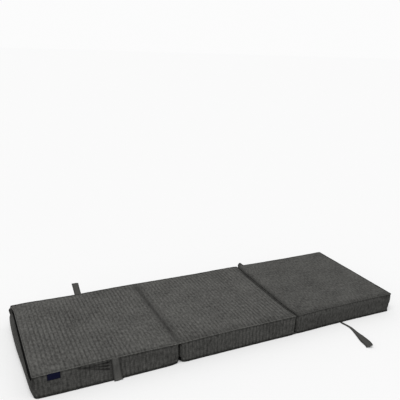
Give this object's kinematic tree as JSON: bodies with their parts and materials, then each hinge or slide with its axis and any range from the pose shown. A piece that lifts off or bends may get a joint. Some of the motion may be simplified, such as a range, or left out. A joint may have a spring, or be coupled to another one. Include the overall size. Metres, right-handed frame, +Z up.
{
  "type": "folding mattress",
  "caption": "Folding foam mattress of zipped fabric panels joined by fabric hinges, with straps that hold it shut when folded.",
  "frame": {"origin": "on the underside, at the middle of the middle panel, with the mattress laid flat", "axes": "+X along the mattress from panel a to panel c, +Y across it towards the back, +Z up from the underside"},
  "size_m": [1.903, 1.1114, 0.113],
  "materials": {
    "cover_fabric": "charcoal ribbed upholstery weave, matt",
    "strap_fabric": "charcoal weave folded lengthwise and stitched, matt",
    "foam": "open-cell polyurethane foam, cream, matt",
    "zip_tape": "black woven polyester tape",
    "zip_teeth": "black moulded plastic, satin",
    "zip_metal": "dark painted die-cast metal, satin",
    "hook_tape": "black hook and loop tape, matt",
    "label_weave": "navy woven tape, plain"
  },
  "bodies": {
    "panel_b": {"foam_core_b": "foam", "bottom_cover_b": "cover_fabric", "side_band_b": "cover_fabric", "top_cover_b": "cover_fabric", "zip_tape_upper_b": "zip_tape", "zip_tape_lower_b": "zip_tape", "zip_teeth_upper_b": "zip_teeth", "zip_teeth_lower_b": "zip_teeth", "zip_stop_closed_b": "zip_metal", "zip_stop_open_b": "zip_metal", "hinge_web_ab": "cover_fabric", "hinge_web_bc": "cover_fabric"},
    "panel_a": {"foam_core_a": "foam", "bottom_cover_a": "cover_fabric", "side_band_a": "cover_fabric", "top_cover_a": "cover_fabric", "zip_tape_upper_a": "zip_tape", "zip_tape_lower_a": "zip_tape", "zip_teeth_upper_a": "zip_teeth", "zip_teeth_lower_a": "zip_teeth", "zip_stop_closed_a": "zip_metal", "zip_stop_open_a": "zip_metal", "label": "label_weave"},
    "panel_c": {"foam_core_c": "foam", "bottom_cover_c": "cover_fabric", "side_band_c": "cover_fabric", "top_cover_c": "cover_fabric", "zip_tape_upper_c": "zip_tape", "zip_tape_lower_c": "zip_tape", "zip_teeth_upper_c": "zip_teeth", "zip_teeth_lower_c": "zip_teeth", "zip_stop_closed_c": "zip_metal", "zip_stop_open_c": "zip_metal"},
    "zip_slider_a": {"zip_slider_a": "zip_metal"},
    "zip_slider_b": {"zip_slider_b": "zip_metal"},
    "zip_slider_c": {"zip_slider_c": "zip_metal"},
    "zip_pull_a": {"zip_pull_a": "zip_metal"},
    "zip_pull_b": {"zip_pull_b": "zip_metal"},
    "zip_pull_c": {"zip_pull_c": "zip_metal"},
    "strap_a_front": {"strap_a_front": "strap_fabric", "strap_a_front_patch": "hook_tape"},
    "strap_a_back": {"strap_a_back": "strap_fabric", "strap_a_back_patch": "hook_tape"},
    "strap_c_front": {"strap_c_front": "strap_fabric", "strap_c_front_patch": "hook_tape"},
    "strap_c_back": {"strap_c_back": "strap_fabric", "strap_c_back_patch": "hook_tape"}
  },
  "joints": [
    {"name": "fold_ab", "type": "hinge", "parent": "panel_b", "child": "panel_a", "pos_m": [-0.31667, 0, 0.1135], "axis": [0, 1, 0], "range_deg": [0, 180], "deforming": ["hinge_web_ab"]},
    {"name": "fold_bc", "type": "hinge", "parent": "panel_b", "child": "panel_c", "pos_m": [0.31667, 0, -0.0005], "axis": [0, 1, 0], "range_deg": [0, 180], "deforming": ["hinge_web_bc"]},
    {"name": "zip_a_slide", "type": "slide", "parent": "panel_a", "child": "zip_slider_a", "axis": [0, -1, 0], "range_m": [0, 0.5832], "deforming": ["zip_teeth_upper_a", "zip_teeth_lower_a"]},
    {"name": "zip_b_slide", "type": "slide", "parent": "panel_b", "child": "zip_slider_b", "axis": [0, -1, 0], "range_m": [0, 0.5912], "deforming": ["zip_teeth_upper_b", "zip_teeth_lower_b"]},
    {"name": "zip_c_slide", "type": "slide", "parent": "panel_c", "child": "zip_slider_c", "axis": [0, -1, 0], "range_m": [0, 0.5832], "deforming": ["zip_teeth_upper_c", "zip_teeth_lower_c"]},
    {"name": "zip_a_pull", "type": "hinge", "parent": "zip_slider_a", "child": "zip_pull_a", "pos_m": [-0.94938, 0.2902, 0.093], "axis": [0, 0, -1], "range_deg": [0, 180]},
    {"name": "zip_b_pull", "type": "hinge", "parent": "zip_slider_b", "child": "zip_pull_b", "pos_m": [-0.31255, 0.2942, 0.015], "axis": [0, 0, -1], "range_deg": [0, 15]},
    {"name": "zip_c_pull", "type": "hinge", "parent": "zip_slider_c", "child": "zip_pull_c", "pos_m": [0.94938, 0.2902, 0.015], "axis": [0, 0, 1], "range_deg": [0, 180]},
    {"name": "strap_a_front_swing", "type": "hinge", "parent": "panel_a", "child": "strap_a_front", "pos_m": [-0.615, -0.32158, 0.105], "axis": [-1, 0, 0], "range_deg": [0, 170]},
    {"name": "strap_a_back_swing", "type": "hinge", "parent": "panel_a", "child": "strap_a_back", "pos_m": [-0.615, 0.32158, 0.105], "axis": [1, 0, 0], "range_deg": [-75, 80]},
    {"name": "strap_c_front_swing", "type": "hinge", "parent": "panel_c", "child": "strap_c_front", "pos_m": [0.615, -0.32158, 0.0015], "axis": [-1, 0, 0], "range_deg": [-84, 88]},
    {"name": "strap_c_back_swing", "type": "hinge", "parent": "panel_c", "child": "strap_c_back", "pos_m": [0.615, 0.32158, 0.0015], "axis": [1, 0, 0], "range_deg": [-84, 88]}
  ]
}
